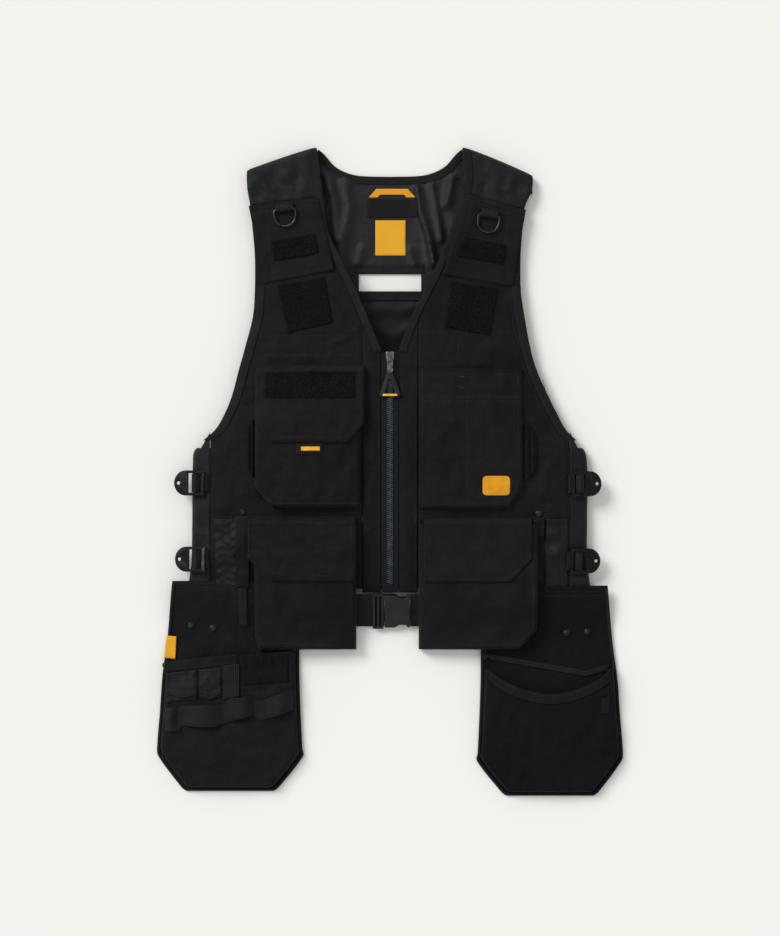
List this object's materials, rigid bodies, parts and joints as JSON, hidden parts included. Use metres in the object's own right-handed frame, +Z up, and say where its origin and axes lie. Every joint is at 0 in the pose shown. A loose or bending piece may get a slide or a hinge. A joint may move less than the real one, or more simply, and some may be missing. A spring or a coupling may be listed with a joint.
{
  "type": "utility work vest",
  "caption": "Black canvas work vest lying flat, with a front zip, strapped shoulders, flapped pouches, side adjusters, a belt buckle and hanging tool holsters.",
  "frame": {"origin": "middle of the vest's outline on the surface that it lies on", "axes": "+X to the picture's right, +Y towards the collar, +Z up out of the vest's front"},
  "size_m": [0.6492, 0.9054, 0.0485],
  "materials": {
    "canvas": "matt woven canvas",
    "satin": "soft sheen",
    "binding": "matt tape",
    "loop_pile": "matt looped pile",
    "webbing": "ribbed webbing",
    "zip_tape": "woven tape",
    "bright_steel": "satin",
    "dark_steel": "dark nickel",
    "black_plastic": "moulded",
    "label_black": "woven label",
    "label_yellow": "woven label"
  },
  "bodies": {
    "vest": {"back_yoke": "satin", "lower_back": "satin", "shoulder_left": "satin", "side_panel_left": "satin", "front_left": "canvas", "placket_left": "canvas", "neck_binding_left": "binding", "shoulder_right": "satin", "side_panel_right": "satin", "front_right": "canvas", "placket_right": "canvas", "neck_binding_right": "binding", "neck_binding_back": "binding", "zip": "zip_tape", "strap_panel_left": "canvas", "loop_patch_small_left": "loop_pile", "loop_patch_large_left": "loop_pile", "d_ring_tab_left": "webbing", "strap_panel_right": "canvas", "loop_patch_small_right": "loop_pile", "loop_patch_large_right": "loop_pile", "d_ring_tab_right": "webbing", "chest_pouch_left": "canvas", "chest_flap_left": "canvas", "chest_pouch_right": "canvas", "flap_loop_patch": "loop_pile", "chest_tab_left": "webbing", "lower_pouch_back_left": "canvas", "lower_pouch_left": "canvas", "lower_flap_left": "canvas", "lower_pouch_back_right": "canvas", "lower_pouch_right": "canvas", "lower_flap_right": "canvas", "holster_back_left": "canvas", "holster_back_right": "canvas", "holster_pouch_left": "canvas", "holster_bag_right": "canvas", "tool_loops": "webbing", "holster_tag": "label_yellow", "hanger_loop": "label_yellow", "neck_label": "label_black", "size_label": "label_yellow", "zip_slider": "bright_steel", "side_buckle_left_upper": "dark_steel", "side_webbing_left_upper": "webbing", "side_buckle_left_lower": "dark_steel", "side_webbing_left_lower": "webbing", "side_buckle_right_upper": "dark_steel", "side_webbing_right_upper": "webbing", "side_buckle_right_lower": "dark_steel", "side_webbing_right_lower": "webbing", "belt_webbing_left": "webbing", "belt_webbing_right": "webbing", "belt_slide": "black_plastic", "belt_buckle": "black_plastic"},
    "zip_pull": {"zip_tab": "bright_steel", "zip_pull": "black_plastic"},
    "d_ring_left": {"d_ring_left": "dark_steel"},
    "d_ring_right": {"d_ring_right": "dark_steel"}
  },
  "joints": [
    {"name": "zip_pull_swing", "type": "hinge", "parent": "vest", "child": "zip_pull", "pos_m": [0, 0.15782, 0.03744], "axis": [-1, 0, 0.0003], "range_deg": [0, 150]},
    {"name": "d_ring_left_swing", "type": "hinge", "parent": "vest", "child": "d_ring_left", "pos_m": [-0.14671, 0.3645, 0.02252], "axis": [-0.9955, -0.0882, -0.0358], "range_deg": [0, 150]},
    {"name": "d_ring_right_swing", "type": "hinge", "parent": "vest", "child": "d_ring_right", "pos_m": [0.13794, 0.35559, 0.02293], "axis": [-0.9837, 0.1751, 0.0411], "range_deg": [0, 150]}
  ]
}
